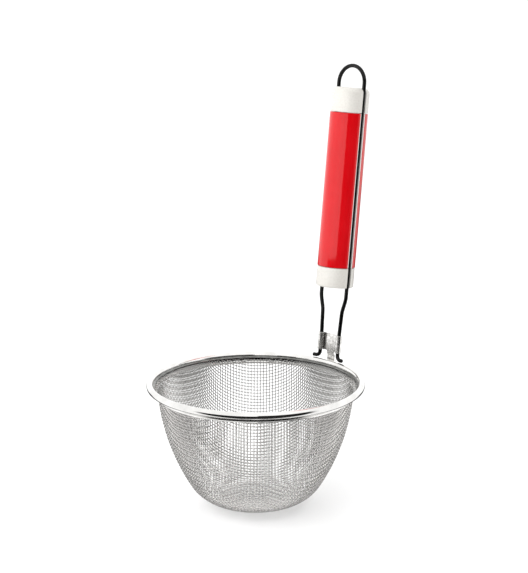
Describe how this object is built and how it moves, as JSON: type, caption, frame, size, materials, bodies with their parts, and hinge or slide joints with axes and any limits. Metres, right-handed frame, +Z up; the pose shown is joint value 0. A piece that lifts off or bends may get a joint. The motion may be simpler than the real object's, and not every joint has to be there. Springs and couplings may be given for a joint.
{
  "type": "mesh strainer",
  "caption": "Round fine-mesh strainer for sifting flour: a deep woven steel bowl in a rolled steel rim, on an upright wire handle with a red grip and a hanging loop.",
  "frame": {"origin": "centre of the flat base of the bowl, on its outer face", "axes": "+Z up through the middle of the bowl, +Y from the middle of the bowl towards the handle, +X to the right seen from the front, where the bowl is nearer than the handle"},
  "size_m": [0.14, 0.1696, 0.2792],
  "materials": {
    "woven_steel": "bright drawn stainless steel wire, plain weave",
    "polished_steel": "polished stainless steel",
    "red_plastic": "glossy moulded plastic",
    "white_plastic": "warm white moulded plastic with a soft gloss"
  },
  "bodies": {
    "root": {"mesh_bowl": "woven_steel", "rim_channel": "polished_steel", "rim_core_wire": "polished_steel", "handle_wire": "polished_steel", "wire_bracket": "polished_steel", "grip_sleeve": "red_plastic", "top_cap": "white_plastic", "bottom_cap": "white_plastic"}
  },
  "joints": []
}
